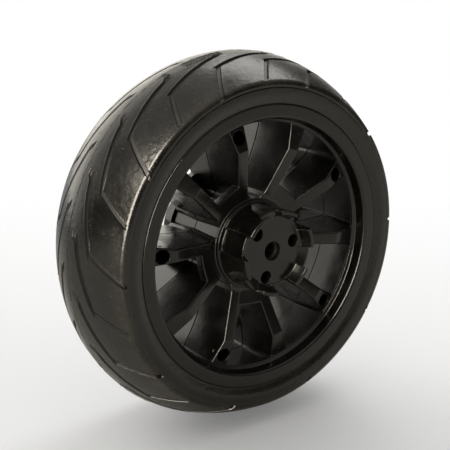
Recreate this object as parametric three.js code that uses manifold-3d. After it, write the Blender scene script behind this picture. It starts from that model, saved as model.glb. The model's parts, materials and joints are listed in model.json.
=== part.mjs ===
// Moulded ride-on motorcycle wheel, 270 mm across, with a six-tooth drive hub on its front side.
// Millimetres, +Z up. The wheel stands upright and turns about the Y axis; the origin is at its centre.
// The drive side faces -Y. Angles run from +X towards +Z, seen from the drive side.
import * as THREE from 'three';
import { mergeVertices } from 'three/addons/utils/BufferGeometryUtils.js';
import Module from 'manifold-3d';

const wasm = await Module();
wasm.setup();

// ---- driving dimensions ----
const GAP = 0.3;                    // clearance between neighbouring pieces
const BIG_SEGMENTS = 60;            // facets round the tyre and rim
const MID_SEGMENTS = 48;            // facets round the hub
const RUNNING_SEGMENTS = 32;        // facets round the sleeve, bushes and washers
const SMALL_SEGMENTS = 12;          // facets round screws, bolts and their holes
const SINK = 0.4;                   // how far a joined face is set below or above its neighbour's

// tyre
const CROWN_RADIUS = 135;           // outside radius at the middle of the tread
const SHOULDER_RADIUS = 117.8;      // radius of the square edge between tread and sidewall
const TREAD_HALF_WIDTH = 46.2;
const CROWN_POWER = 1.68;           // roundness of the tread: 2 would be a parabola
const BEAD_RADIUS = 96.6;           // inside radius of the tyre, on the rim
const TYRE_WALL = 7;                // thickness of the tread and sidewalls
const TREAD_STEPS = 8;

// rim
const RIM_FACE = 44.8;              // distance of the rim's lip faces from the centre plane
const RIM_RADIUS = 102.3;           // outside radius of the lip, flush with the tyre's sidewall
const LIP_INNER_RADIUS = 92.5;      // inner edge of the lip face
const LIP_THICKNESS = 4.2;
const BARREL_OUTER_RADIUS = 96.3;
const BARREL_INNER_RADIUS = 91.5;
const LEDGE_RADIUS = 89;            // narrowest ring of the barrel, where the lip's cone ends
const LEDGE_FACE = 34.6;            // distance of that ring from the centre plane
const LEDGE_DEPTH = 2.6;
const SPOKE_COUNT = 10;
const FIRST_SPOKE_ANGLE = 31;       // a spoke with a screw well; every second spoke has one
const SPOKE_WIDTH = 9.4;            // from the hub to the kink
const SPOKE_END_WIDTH = 14;         // where the spoke meets the barrel
const SPOKE_KINK_RADIUS = 71.6;     // where the spoke's face is highest
const SPOKE_KINK_FACE = 37.6;
const SPOKE_END_FACE = 33.6;
const SPOKE_BACK_FACE = 0.55;
const HUB_TUBE_RADIUS = 33;
const HUB_TUBE_BORE = 24;
const HUB_PLATE_FACE = 27.4;
const HUB_PLATE_THICKNESS = 4;
const WEB_RADIUS = 45.5;            // the webs that tie the spokes in pairs end here
const WELL_RADIUS = 81.9;           // radius of the screw circle
const WELL_BORE = 4.9;
const WELL_WALL = 1.9;
const WELL_FLOOR = 8;               // distance of the well's floor from the centre plane

// hub
const FLANGE_RADIUS = 35;
const FLANGE_THICKNESS = 1.8;
const BOSS_RADIUS = 30.7;
const DRIVE_FACE = 49.9;            // the flat face inside the teeth
const NOTCH_FACE = 54.5;            // low part of the raised edge, between the teeth
const TOOTH_FACE = 59.1;
const TOOTH_INNER_RADIUS = 28;
const DISH_RADIUS = 25;             // the drive face is flat out to here, then rises to the teeth
const FLUTE_RADIUS = 26.4;          // floor of the three flutes
const TOOTH_COUNT = 6;
const TOOTH_ANGLE = 30;             // each tooth, notch and flute takes one twelfth of the hub
const BOLT_COUNT = 3;
const BOLT_CIRCLE = 19.1;
const FIRST_BOLT_ANGLE = 13.4;
const BOLT_SEAT = 36;               // distance of the bolt heads' seats from the centre plane
const COUNTERBORE = 4.2;
const SPIGOT_RADIUS = 14.1;
const SPIGOT_END = 20;
const BUSH_BORE = 11.3;             // hole that holds a bush
const AXLE_HOLE = 6.65;             // hole in the drive face for a 12 mm axle
const FRONT_WALL = 3;
const REAR_BOSS_RADIUS = 30;
const REAR_FACE = 45;
const NUT_SEAT = 39.7;

// fasteners
const SCREW_RADIUS = 1.9;
const SCREW_HEAD_RADIUS = 4;
const SCREW_HEAD_HEIGHT = 3;
const SCREW_END = 22;
const BOLT_RADIUS = 2.4;
const BOLT_HEAD_RADIUS = 3.85;
const BOLT_HEAD_HEIGHT = 5;
const NUT_RADIUS = 4.6;             // across the corners, halved
const NUT_HEIGHT = 4;
const BOLT_TAIL = 1;                // bolt thread that shows past its nut

// running gear
const SLEEVE_RADIUS = 8;
const SLEEVE_BORE = 6.2;
const BUSH_RADIUS = 11;
const BUSH_FLANGE_RADIUS = 13.8;
const BUSH_FLANGE_THICKNESS = 2.5;
const WASHER_THICKNESS = 1;
const WASHER_RADIUS = 13;
const CIRCLIP_GROOVE_RADIUS = 7.2;
const CIRCLIP_WIDTH = 1.1;
const CIRCLIP_RADIUS = 10.2;
const CIRCLIP_OPENING = 40;         // degrees

const RUNNING_RADIUS = SLEEVE_RADIUS + 0.35;
const FRONT_WASHER_FACE = DRIVE_FACE - FRONT_WALL - GAP;
const SLEEVE_FRONT_END = FRONT_WASHER_FACE - WASHER_THICKNESS - GAP;
const SLEEVE_REAR_END = TOOTH_FACE; // so the wheel's centre plane is midway between its two ends

// ---- materials ----
const plastic = (color, roughness) => new THREE.MeshStandardMaterial({ color, roughness, metalness: 0 });
const metal = (color, roughness) => new THREE.MeshStandardMaterial({ color, roughness, metalness: 1 });
const rubberBlack = plastic(0x1c1b1a, 0.75);
const rimBlack = plastic(0x141415, 0.35);
const hubBlack = plastic(0x191817, 0.45);
const nylonWhite = plastic(0xd8d3c4, 0.55);
const zincSteel = metal(0x9b9c9a, 0.4);
const sleeveSteel = metal(0x85868a, 0.35);

// ---- geometry helpers ----
const radians = (degrees) => THREE.MathUtils.degToRad(degrees);

// A closed geometry becomes a solid that can be joined and cut.
function solid(geometry) {
  const bare = geometry.index ? geometry : mergeVertices(geometry);
  bare.deleteAttribute('normal');
  bare.deleteAttribute('uv');
  const merged = mergeVertices(bare, 1e-4);
  const corners = merged.index.array;
  const triangles = [];
  for (let i = 0; i < corners.length; i += 3) {
    const [a, b, c] = [corners[i], corners[i + 1], corners[i + 2]];
    if (a !== b && b !== c && c !== a) triangles.push(a, b, c);
  }
  const vertProperties = new Float32Array(merged.attributes.position.array);
  const triVerts = new Uint32Array(triangles);
  return new wasm.Manifold(new wasm.Mesh({ numProp: 3, vertProperties, triVerts }));
}

// A closed outline of [radius, y] points, turned about the Y axis.
function turned(outline, segments) {
  const area = outline.reduce((sum, [r, y], i) => {
    const [nextR, nextY] = outline[(i + 1) % outline.length];
    return sum + r * nextY - nextR * y;
  }, 0);
  const ordered = area > 0 ? outline : [...outline].reverse();
  const points = [...ordered, ordered[0]].map(([r, y]) => new THREE.Vector2(r, y));
  return solid(new THREE.LatheGeometry(points, segments));
}

function ring(innerRadius, outerRadius, yFrom, yTo) {
  const outline = [[innerRadius, yFrom], [outerRadius, yFrom], [outerRadius, yTo], [innerRadius, yTo]];
  return turned(outline, RUNNING_SEGMENTS);
}

function rod(radius, yFrom, yTo, segments, circleRadius = 0, angle = 0) {
  const geometry = new THREE.CylinderGeometry(radius, radius, yTo - yFrom, segments);
  geometry.translate(circleRadius, (yFrom + yTo) / 2, 0);
  geometry.rotateY(-radians(angle));
  return solid(geometry);
}

// Part of a ring, centred on an angle.
function sector(innerRadius, outerRadius, middleAngle, width, yFrom, yTo) {
  const from = radians(middleAngle - width / 2);
  const to = radians(middleAngle + width / 2);
  const shape = new THREE.Shape();
  shape.absarc(0, 0, outerRadius, from, to, false);
  shape.absarc(0, 0, innerRadius, to, from, true);
  shape.closePath();
  const settings = { depth: yTo - yFrom, bevelEnabled: false, curveSegments: 4 };
  const geometry = new THREE.ExtrudeGeometry(shape, settings);
  geometry.rotateX(Math.PI / 2);
  geometry.translate(0, yTo, 0);
  return solid(geometry);
}

const join = (first, ...others) => others.reduce((sum, piece) => sum.add(piece), first);
const cut = (first, ...others) => others.reduce((sum, piece) => sum.subtract(piece), first);
const range = (count) => Array.from({ length: count }, (_, index) => index);
const mirrored = (outline) => outline.map(([r, y]) => [r, -y]).reverse();

// A mirrored copy of a solid on the other side of the centre plane. Mirroring turns faces inside out,
// so each triangle's corners are taken in the opposite order.
function rearCopy(piece) {
  const { vertProperties, triVerts } = piece.getMesh();
  const positions = vertProperties.map((value, index) => (index % 3 === 1 ? -value : value));
  const corners = triVerts.reverse();
  return new wasm.Manifold(new wasm.Mesh({ numProp: 3, vertProperties: positions, triVerts: corners }));
}

function node(name, piece, material) {
  const { vertProperties, triVerts } = piece.getMesh();
  const geometry = new THREE.BufferGeometry();
  geometry.setAttribute('position', new THREE.BufferAttribute(new Float32Array(vertProperties), 3));
  geometry.setIndex(new THREE.BufferAttribute(new Uint32Array(triVerts), 1));
  geometry.computeVertexNormals();
  const mesh = new THREE.Mesh(geometry, material);
  mesh.name = name;
  return mesh;
}

const boltAngles = range(BOLT_COUNT).map((index) => FIRST_BOLT_ANGLE + index * 360 / BOLT_COUNT);
const spokeAngles = range(SPOKE_COUNT).map((index) => FIRST_SPOKE_ANGLE + index * 360 / SPOKE_COUNT);
const wellAngles = spokeAngles.filter((angle, index) => index % 2 === 0);
const boltRod = (radius, yFrom, yTo, angle) => rod(radius, yFrom, yTo, SMALL_SEGMENTS, BOLT_CIRCLE, angle);
const wellRod = (radius, yFrom, yTo, angle) => rod(radius, yFrom, yTo, SMALL_SEGMENTS, WELL_RADIUS, angle);

// ---- tyre ----
const treadRadius = (y) => SHOULDER_RADIUS
  + (CROWN_RADIUS - SHOULDER_RADIUS) * (1 - Math.abs(y / TREAD_HALF_WIDTH) ** CROWN_POWER);

// A C-shaped section: crowned tread, nearly flat sidewalls, and beads that stand behind the rim's lips.
function tyre() {
  const beadFace = RIM_FACE - LIP_THICKNESS - GAP;
  const beadToe = BEAD_RADIUS + TYRE_WALL;
  const sidewall = [[RIM_RADIUS + GAP, -beadFace], [RIM_RADIUS + GAP, -RIM_FACE], [110, -46.4]];
  const tread = range(TREAD_STEPS + 1).map((step) => {
    const y = TREAD_HALF_WIDTH * (2 * step / TREAD_STEPS - 1);
    return [treadRadius(y), y];
  });
  const innerTread = range(TREAD_STEPS / 2 + 1).map((step) => {
    const y = (TREAD_HALF_WIDTH - TYRE_WALL) * (1 - 4 * step / TREAD_STEPS);
    return [treadRadius(y) - TYRE_WALL, y];
  });
  const bead = [[BEAD_RADIUS, beadFace], [BEAD_RADIUS, beadFace - TYRE_WALL], [beadToe, beadFace - TYRE_WALL]];
  const outside = [...sidewall, ...tread, ...mirrored(sidewall)];
  return turned([...outside, ...bead, ...innerTread, ...mirrored(bead)], BIG_SEGMENTS);
}

// ---- rim ----
function rimBarrel() {
  const lipBack = -(RIM_FACE - LIP_THICKNESS);
  return turned([
    [RIM_RADIUS, -RIM_FACE], [RIM_RADIUS, lipBack], [BARREL_OUTER_RADIUS, lipBack],
    [BARREL_OUTER_RADIUS, -GAP / 2], [BARREL_INNER_RADIUS, -GAP / 2],
    [BARREL_INNER_RADIUS, LEDGE_DEPTH - LEDGE_FACE], [LEDGE_RADIUS, -LEDGE_FACE], [LIP_INNER_RADIUS, -RIM_FACE],
  ], BIG_SEGMENTS);
}

function rimCentre() {
  const plateBack = HUB_PLATE_THICKNESS - HUB_PLATE_FACE;
  return turned([
    [SPIGOT_RADIUS + GAP, -HUB_PLATE_FACE], [HUB_TUBE_RADIUS, -HUB_PLATE_FACE], [HUB_TUBE_RADIUS, -GAP / 2],
    [HUB_TUBE_BORE, -GAP / 2], [HUB_TUBE_BORE, plateBack], [SPIGOT_RADIUS + GAP, plateBack],
  ], BIG_SEGMENTS);
}

// The spoke's face climbs from the hub to a kink, then drops towards the barrel and widens.
function spoke(angle) {
  const start = HUB_TUBE_RADIUS - 2;
  const end = BARREL_INNER_RADIUS + 1;
  const startFace = 2 * SINK - HUB_PLATE_FACE;
  const side = new THREE.Shape();
  side.moveTo(start, startFace);
  side.lineTo(start, -SPOKE_BACK_FACE);
  side.lineTo(end, -SPOKE_BACK_FACE);
  side.lineTo(end, -SPOKE_END_FACE);
  side.lineTo(SPOKE_KINK_RADIUS, -SPOKE_KINK_FACE);
  side.lineTo(FLANGE_RADIUS + GAP, startFace);
  side.closePath();
  const rib = new THREE.ExtrudeGeometry(side, { depth: SPOKE_END_WIDTH, bevelEnabled: false });
  rib.translate(0, 0, -SPOKE_END_WIDTH / 2);
  const plan = new THREE.Shape();
  plan.moveTo(start - 1, -SPOKE_WIDTH / 2);
  plan.lineTo(SPOKE_KINK_RADIUS, -SPOKE_WIDTH / 2);
  plan.lineTo(end, -SPOKE_END_WIDTH / 2);
  plan.lineTo(end + 1, -SPOKE_END_WIDTH / 2);
  plan.lineTo(end + 1, SPOKE_END_WIDTH / 2);
  plan.lineTo(end, SPOKE_END_WIDTH / 2);
  plan.lineTo(SPOKE_KINK_RADIUS, SPOKE_WIDTH / 2);
  plan.lineTo(start - 1, SPOKE_WIDTH / 2);
  plan.closePath();
  const outline = new THREE.ExtrudeGeometry(plan, { depth: RIM_FACE, bevelEnabled: false });
  outline.rotateX(Math.PI / 2);
  rib.rotateY(-radians(angle));
  outline.rotateY(-radians(angle));
  return solid(rib).intersect(solid(outline));
}

// The web between the two spokes of a pair.
function web(spokeAngle) {
  const pitch = 360 / SPOKE_COUNT;
  const front = SINK - HUB_PLATE_FACE;
  const back = HUB_PLATE_THICKNESS - HUB_PLATE_FACE - SINK;
  return sector(HUB_TUBE_RADIUS - 1, WEB_RADIUS, spokeAngle + pitch / 2, pitch, front, back);
}

function rimHalf() {
  const pillars = wellAngles.map((angle) => wellRod(WELL_BORE + WELL_WALL, -SPOKE_END_FACE, -GAP / 2, angle));
  const boltHoles = boltAngles.map((angle) => boltRod(BOLT_RADIUS + GAP, -HUB_PLATE_FACE - 1, 0, angle));
  const half = join(rimBarrel(), rimCentre(), ...spokeAngles.map(spoke), ...wellAngles.map(web), ...pillars);
  return cut(half, ...boltHoles);
}

// The front half has open wells down to a floor that the screw heads pull on.
function rimFront() {
  const wells = wellAngles.map((angle) => wellRod(WELL_BORE, -SPOKE_KINK_FACE, -WELL_FLOOR, angle));
  const holes = wellAngles.map((angle) => wellRod(SCREW_RADIUS + GAP, -SPOKE_KINK_FACE, 1, angle));
  return cut(rimHalf(), ...wells, ...holes);
}

// The rear half has blind holes that the screws bite into.
function rimRear() {
  const holes = wellAngles.map((angle) => wellRod(SCREW_RADIUS + GAP, -1, SCREW_END + 1, angle));
  return cut(rearCopy(rimHalf()), ...holes);
}

function rimScrew(angle) {
  const seat = -WELL_FLOOR - GAP;
  const shank = wellRod(SCREW_RADIUS, seat - 1, SCREW_END, angle);
  const head = wellRod(SCREW_HEAD_RADIUS, seat - SCREW_HEAD_HEIGHT, seat, angle);
  return join(shank, head);
}

// ---- hub ----
function driveHub() {
  const flangeBack = -HUB_PLATE_FACE - GAP;
  const flangeFront = flangeBack - FLANGE_THICKNESS;
  const wallBack = FRONT_WALL - DRIVE_FACE;
  const body = turned([
    [AXLE_HOLE, -DRIVE_FACE], [DISH_RADIUS, -DRIVE_FACE], [TOOTH_INNER_RADIUS, -NOTCH_FACE],
    [BOSS_RADIUS, -NOTCH_FACE], [BOSS_RADIUS, flangeFront], [FLANGE_RADIUS, flangeFront],
    [FLANGE_RADIUS, flangeBack], [SPIGOT_RADIUS, flangeBack], [SPIGOT_RADIUS, -SPIGOT_END],
    [BUSH_BORE, -SPIGOT_END], [BUSH_BORE, wallBack], [AXLE_HOLE, wallBack],
  ], MID_SEGMENTS);
  const toothAngles = range(TOOTH_COUNT).map((index) => FIRST_BOLT_ANGLE + index * 360 / TOOTH_COUNT);
  const tooth = (angle) => sector(TOOTH_INNER_RADIUS, BOSS_RADIUS - SINK, angle, TOOTH_ANGLE,
    -TOOTH_FACE, 1 - NOTCH_FACE);
  const flute = (angle) => sector(FLUTE_RADIUS, FLANGE_RADIUS + 5, angle + TOOTH_ANGLE, TOOTH_ANGLE,
    -TOOTH_FACE - 1, flangeFront - SINK);
  const counterbore = (angle) => boltRod(COUNTERBORE, -DRIVE_FACE - 1, -BOLT_SEAT, angle);
  const hole = (angle) => boltRod(BOLT_RADIUS + GAP, -DRIVE_FACE, -HUB_PLATE_FACE, angle);
  const toothed = join(body, ...toothAngles.map(tooth));
  return cut(toothed, ...boltAngles.map(flute), ...boltAngles.map(counterbore), ...boltAngles.map(hole));
}

function rearHubPlate() {
  const flangeFront = HUB_PLATE_FACE + GAP;
  const flangeBack = flangeFront + FLANGE_THICKNESS;
  const body = turned([
    [BUSH_BORE, SPIGOT_END], [SPIGOT_RADIUS, SPIGOT_END], [SPIGOT_RADIUS, flangeFront],
    [FLANGE_RADIUS, flangeFront], [FLANGE_RADIUS, flangeBack], [REAR_BOSS_RADIUS, flangeBack],
    [REAR_BOSS_RADIUS, REAR_FACE], [BUSH_BORE, REAR_FACE],
  ], MID_SEGMENTS);
  const hole = (angle) => boltRod(BOLT_RADIUS + GAP, HUB_PLATE_FACE, REAR_FACE + 1, angle);
  const pocket = (angle) => rod(NUT_RADIUS + GAP, NUT_SEAT, REAR_FACE + 1, 6, BOLT_CIRCLE, angle);
  return cut(body, ...boltAngles.map(hole), ...boltAngles.map(pocket));
}

function hubBolt(angle) {
  const seat = -BOLT_SEAT - GAP;
  const tail = NUT_SEAT + GAP + NUT_HEIGHT + BOLT_TAIL;
  const shank = boltRod(BOLT_RADIUS, seat - 1, tail, angle);
  const head = boltRod(BOLT_HEAD_RADIUS, seat - BOLT_HEAD_HEIGHT, seat, angle);
  return join(shank, head);
}

function hubNut(angle) {
  const face = NUT_SEAT + GAP;
  const body = rod(NUT_RADIUS, face, face + NUT_HEIGHT, 6, BOLT_CIRCLE, angle);
  return cut(body, boltRod(BOLT_RADIUS + GAP, face - 1, face + NUT_HEIGHT + 1, angle));
}

// ---- running gear ----
// The bush's flange stands against the inner end of the spigot.
function frontBush() {
  const flangeFrom = -SPIGOT_END + GAP;
  const flangeTo = flangeFrom + BUSH_FLANGE_THICKNESS;
  return turned([
    [RUNNING_RADIUS, -SLEEVE_FRONT_END], [BUSH_RADIUS, -SLEEVE_FRONT_END], [BUSH_RADIUS, flangeFrom],
    [BUSH_FLANGE_RADIUS, flangeFrom], [BUSH_FLANGE_RADIUS, flangeTo], [RUNNING_RADIUS, flangeTo],
  ], RUNNING_SEGMENTS);
}

function rearBush() {
  const flangeTo = SPIGOT_END - GAP;
  const flangeFrom = flangeTo - BUSH_FLANGE_THICKNESS;
  const end = REAR_FACE - GAP;
  return turned([
    [RUNNING_RADIUS, flangeFrom], [BUSH_FLANGE_RADIUS, flangeFrom], [BUSH_FLANGE_RADIUS, flangeTo],
    [BUSH_RADIUS, flangeTo], [BUSH_RADIUS, end], [RUNNING_RADIUS, end],
  ], RUNNING_SEGMENTS);
}

const REAR_WASHER_FROM = REAR_FACE + GAP;
const CIRCLIP_FROM = REAR_WASHER_FROM + WASHER_THICKNESS + GAP;

function axleSleeve() {
  const grooveFrom = CIRCLIP_FROM - GAP;
  const grooveTo = CIRCLIP_FROM + CIRCLIP_WIDTH + GAP;
  return turned([
    [SLEEVE_BORE, -SLEEVE_FRONT_END], [SLEEVE_RADIUS, -SLEEVE_FRONT_END], [SLEEVE_RADIUS, grooveFrom],
    [CIRCLIP_GROOVE_RADIUS, grooveFrom], [CIRCLIP_GROOVE_RADIUS, grooveTo], [SLEEVE_RADIUS, grooveTo],
    [SLEEVE_RADIUS, SLEEVE_REAR_END], [SLEEVE_BORE, SLEEVE_REAR_END],
  ], RUNNING_SEGMENTS);
}

function frontThrustWasher() {
  const outerRadius = BUSH_BORE - GAP;
  return ring(AXLE_HOLE, outerRadius, -FRONT_WASHER_FACE, WASHER_THICKNESS - FRONT_WASHER_FACE);
}

function rearThrustWasher() {
  return ring(RUNNING_RADIUS, WASHER_RADIUS, REAR_WASHER_FROM, REAR_WASHER_FROM + WASHER_THICKNESS);
}

// An open ring that snaps into the sleeve's groove, its gap pointing down.
function sleeveCirclip() {
  const whole = ring(CIRCLIP_GROOVE_RADIUS + GAP, CIRCLIP_RADIUS, CIRCLIP_FROM, CIRCLIP_FROM + CIRCLIP_WIDTH);
  const opening = sector(CIRCLIP_GROOVE_RADIUS - 2, CIRCLIP_RADIUS + 2, -90, CIRCLIP_OPENING,
    CIRCLIP_FROM - 1, CIRCLIP_FROM + CIRCLIP_WIDTH + 1);
  return cut(whole, opening);
}

// ---- assembly ----
const wheel = new THREE.Group();
wheel.add(
  node('tyre', tyre(), rubberBlack),
  node('rim_front', rimFront(), rimBlack),
  node('rim_rear', rimRear(), rimBlack),
  node('drive_hub', driveHub(), hubBlack),
  node('rear_hub_plate', rearHubPlate(), hubBlack),
  node('front_bush', frontBush(), nylonWhite),
  node('rear_bush', rearBush(), nylonWhite),
);
wellAngles.forEach((angle, index) => {
  wheel.add(node(`rim_screw_${index + 1}`, rimScrew(angle), zincSteel));
});
boltAngles.forEach((angle, index) => {
  wheel.add(node(`hub_bolt_${index + 1}`, hubBolt(angle), zincSteel));
  wheel.add(node(`hub_nut_${index + 1}`, hubNut(angle), zincSteel));
});

const axle = new THREE.Group();
axle.add(
  node('axle_sleeve', axleSleeve(), sleeveSteel),
  node('front_thrust_washer', frontThrustWasher(), sleeveSteel),
  node('rear_thrust_washer', rearThrustWasher(), sleeveSteel),
  node('sleeve_circlip', sleeveCirclip(), sleeveSteel),
);

const assembly = new THREE.Group();
assembly.add(wheel, axle);

export default assembly;
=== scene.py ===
"""Moulded ride-on motorcycle wheel, 270 mm across: its visible pieces, finishes, light and camera.

Sizes are millimetres unless a name says otherwise, and become metres when a mesh is made.
The wheel turns about the Y axis and its drive side faces -Y. Angles run from +X towards +Z.
"""

import json
import math

import bmesh
import bpy
import numpy as np
from mathutils import Matrix, Vector, noise


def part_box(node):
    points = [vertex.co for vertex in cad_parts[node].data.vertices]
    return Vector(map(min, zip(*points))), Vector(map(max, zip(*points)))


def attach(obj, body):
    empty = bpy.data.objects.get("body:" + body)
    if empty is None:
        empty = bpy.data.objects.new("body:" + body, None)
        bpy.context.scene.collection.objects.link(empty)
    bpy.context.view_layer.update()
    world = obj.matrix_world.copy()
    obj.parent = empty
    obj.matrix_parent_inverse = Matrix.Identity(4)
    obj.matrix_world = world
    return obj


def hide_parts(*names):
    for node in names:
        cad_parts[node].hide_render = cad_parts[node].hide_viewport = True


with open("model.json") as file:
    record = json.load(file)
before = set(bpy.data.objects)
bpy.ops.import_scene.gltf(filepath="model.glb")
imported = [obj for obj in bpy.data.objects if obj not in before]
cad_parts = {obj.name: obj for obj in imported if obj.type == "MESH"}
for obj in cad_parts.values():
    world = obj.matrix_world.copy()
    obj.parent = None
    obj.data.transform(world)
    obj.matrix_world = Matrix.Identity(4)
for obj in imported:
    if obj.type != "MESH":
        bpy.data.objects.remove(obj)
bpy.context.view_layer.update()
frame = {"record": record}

MM = 0.001  # metres in a millimetre
GAP = 0.3  # clearance between neighbouring pieces

# ---- sizes read from the frame ----


def box_mm(node):
    low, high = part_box(node)
    return low / MM, high / MM


tyre_high = box_mm("tyre")[1]
rim_low, rim_high = box_mm("rim_front")
hub_low = box_mm("drive_hub")[0]
plate_high = box_mm("rear_hub_plate")[1]
sleeve_low, sleeve_high = box_mm("axle_sleeve")
RECORD = frame["record"]
BODY_OF_NODE = {node: body for body, nodes in RECORD["behaviour"]["bodies"].items() for node in nodes}

# ---- tyre sizes ----
CROWN_RADIUS = tyre_high.x - 0.25  # leaves room for the flash along the parting line
TREAD_HALF_WIDTH = 46.2
SHOULDER_RADIUS = 117.8
MEAN_TREAD_RADIUS = SHOULDER_RADIUS + 12
CROWN_POWER = 1.68  # how the tread drops away from the parting line
BEAD_RADIUS = 96.6
TYRE_WALL = 7.0
BEAD_STEP = 0.9  # the rim's flange stands this proud of the tyre beside it
SHOULDER_ROUNDING = 4.6
PARTING_LINE = -2.0  # the moulds met a little in front of the centre plane
TORN_MIDDLE = PARTING_LINE - 3.2  # middle line of the patches torn by the moulds
TORN_STRETCHES = ((94, 96, 108, 110), (113.5, 114.2, 116, 116.6))  # degrees: start, full, waning, end
TORN_PATCHES = ((101.8, 7.2), (115.0, 1.4))  # middle and reach in degrees of their dark colour
GROOVE_PITCH = 18.0  # degrees from one groove to the next
GROOVE_BEND_ANGLE = 101.4  # angle of one long groove's bend
GROOVE_DEPTH = 1.6
REAR_SHIFT = 10.5  # degrees that the rear half's pattern leads the front half's
# A groove's cross-section: distances from its middle line, and shares of its depth there.
GROOVE_OFFSETS = np.array((-2.2, -1.72, -1.45, -1.2, 0.0, 1.2, 1.45, 1.72, 2.2))
GROOVE_PROFILE = np.array((0.0, -0.06, 0.6, 1.0, 1.0, 1.0, 0.6, -0.06, 0.0))
LAND_COLUMNS = (5, 3)  # mesh columns on the land after a front groove and a rear one

# ---- rim sizes ----
RIM_FACE = -rim_low.y
RIM_RADIUS = rim_high.x
LIP_INNER_RADIUS = 92.5
LIP_THICKNESS = 4.2
BARREL_OUTER_RADIUS = 96.3
BARREL_INNER_RADIUS = 91.5
LEDGE_RADIUS = 89.0
LEDGE_FACE = 34.6
SPOKE_COUNT = 10
FIRST_SPOKE_ANGLE = 31.0
SPOKE_KINK_RADIUS = 71.6
SPOKE_HALF_WIDTHS = (4.1, 4.7)  # at the hub's tube and at the kink
SPOKE_WIDENING = 0.105  # for each millimetre past the kink
SPOKE_ROOT_FACE = 26.9
SPOKE_KINK_FACE = 37.6
SPOKE_END_FACE = 33.6
SPOKE_BACK_FACE = 0.55
SPOKE_DRAFT = 0.035
SPOKE_ROUNDING = 1.5
HUB_TUBE_RADIUS = 33.0
HUB_TUBE_BORE = 24.0
HUB_PLATE_FACE = 27.4
HUB_PLATE_THICKNESS = 4.0
WEB_RADIUS = 45.5
WEB_BACK_FACE = 22.5
PILLAR_RADIUS = 6.4
PILLAR_FACE = 31.0
WELL_CIRCLE = 81.9
WELL_BORE = 4.9
WELL_MOUTH = 45.0  # beyond the pillars and the barrel's ledge, where the wells' cutter starts
WELL_FLOOR = 8.0

# ---- hub sizes ----
FLANGE_RADIUS = 35.0
FLANGE_THICKNESS = 1.8
BOSS_RADIUS = 30.7
RING_RADIUS = 32.2  # foot of the drive hub, with a shadow gap round it
DRIVE_FACE = 49.9
NOTCH_FACE = 53.6
TOOTH_FACE = -hub_low.y
FLUTE_RADIUS = 26.4
BOLT_CIRCLE = 19.1
FIRST_BOLT_ANGLE = 13.4
BOLT_SEAT = 36.0
COUNTERBORE = 4.2
# The drive hub where it is a notch, a tooth and a flute: face, radii of the dish, of the face's inner and
# outer edges and of the foot, and the roundings of the two edges.
NOTCH = np.array((NOTCH_FACE, 23.0, 29.0, BOSS_RADIUS, BOSS_RADIUS, 0.6, 0.9))
TOOTH = np.array((TOOTH_FACE, 24.9, 27.8, BOSS_RADIUS, BOSS_RADIUS, 0.6, 1.7))
FLUTE = np.array((DRIVE_FACE + 0.2, 24.2, 24.9, FLUTE_RADIUS, 29.0, 0.3, 1.3))
OUTSIDE = 62.0  # beyond the drive teeth, where cutters start
SPIGOT_RADIUS = 14.1
SPIGOT_END = 20.0
BUSH_BORE = 11.3
AXLE_HOLE = 6.65
FRONT_WALL = 3.0
REAR_BOSS_RADIUS = 30.0
REAR_FACE = plate_high.y
NUT_SEAT = 39.7

# ---- fastener and running gear sizes ----
SCREW_RADIUS = 1.9
SCREW_HEAD_RADIUS = 4.0
SCREW_HEAD_HEIGHT = 3.0
SCREW_END = 22.0
SCREW_THREAD = (0.3, 0.55)  # depth and distance between ridge and furrow
BOLT_RADIUS = 2.4
BOLT_HEAD_RADIUS = 3.85
BOLT_HEAD_HEIGHT = 5.0
NUT_CORNER_RADIUS = 4.6
NUT_FACE_RADIUS = 4.1
NUT_HEIGHT = 4.0
BOLT_TAIL = 1.0
BOLT_THREAD = (0.28, 0.45)
BOLT_THREAD_LENGTH = 14.0
SLEEVE_RADIUS = 8.0
SLEEVE_BORE = 6.2
BUSH_RADIUS = 11.0
BUSH_FLANGE_RADIUS = 13.8
BUSH_FLANGE_THICKNESS = 2.5
CLIP_GROOVE_RADIUS = 7.2
RUNNING_GAP = 0.35  # between the sleeve and what turns on it

SPOKE_ANGLES = [FIRST_SPOKE_ANGLE + i * 360 / SPOKE_COUNT for i in range(SPOKE_COUNT)]
WELL_ANGLES = SPOKE_ANGLES[::2]
BOLT_ANGLES = [FIRST_BOLT_ANGLE + i * 120 for i in range(3)]


# ---- small maths ----

def smooth(low, high, value):
    """0 below low, 1 above high, and an S-shaped step between them."""
    share = np.clip((value - low) / (high - low), 0, 1)
    return share * share * (3 - 2 * share)


def mix(a, b, share):
    return a + (b - a) * share


# ---- mesh helpers ----

def rounded(outline, steps=None):
    """A closed outline of (x, y, rounding) corners becomes points, with each rounded corner a short curve.

    The curve starts and ends where an arc of the rounding's radius would.
    """
    points = []
    for index, (x, y, radius) in enumerate(outline):
        corner = np.array((x, y))
        if radius <= 0:
            points.append(corner)
            continue
        before = np.array(outline[index - 1][:2]) - corner
        after = np.array(outline[(index + 1) % len(outline)][:2]) - corner
        before_length, after_length = np.linalg.norm(before), np.linalg.norm(after)
        before, after = before / before_length, after / after_length
        between = math.acos(np.clip(before @ after, -1, 1))
        reach = min(radius / math.tan(between / 2), 0.48 * before_length, 0.48 * after_length)
        first, last = corner + before * reach, corner + after * reach
        count = steps or max(2, math.ceil((math.pi - between) / math.radians(18)))
        for t in np.linspace(0, 1, count + 1):
            points.append(first * (1 - t) ** 2 + corner * 2 * t * (1 - t) + last * t * t)
    return np.array(points)


def at_angle(section, angle):
    """A section of (radius, y) points, as 3-D points at an angle round the Y axis."""
    radius, y = np.asarray(section).T
    turned = math.radians(angle)
    return np.stack([radius * math.cos(turned), y, radius * math.sin(turned)], axis=-1)


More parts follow.
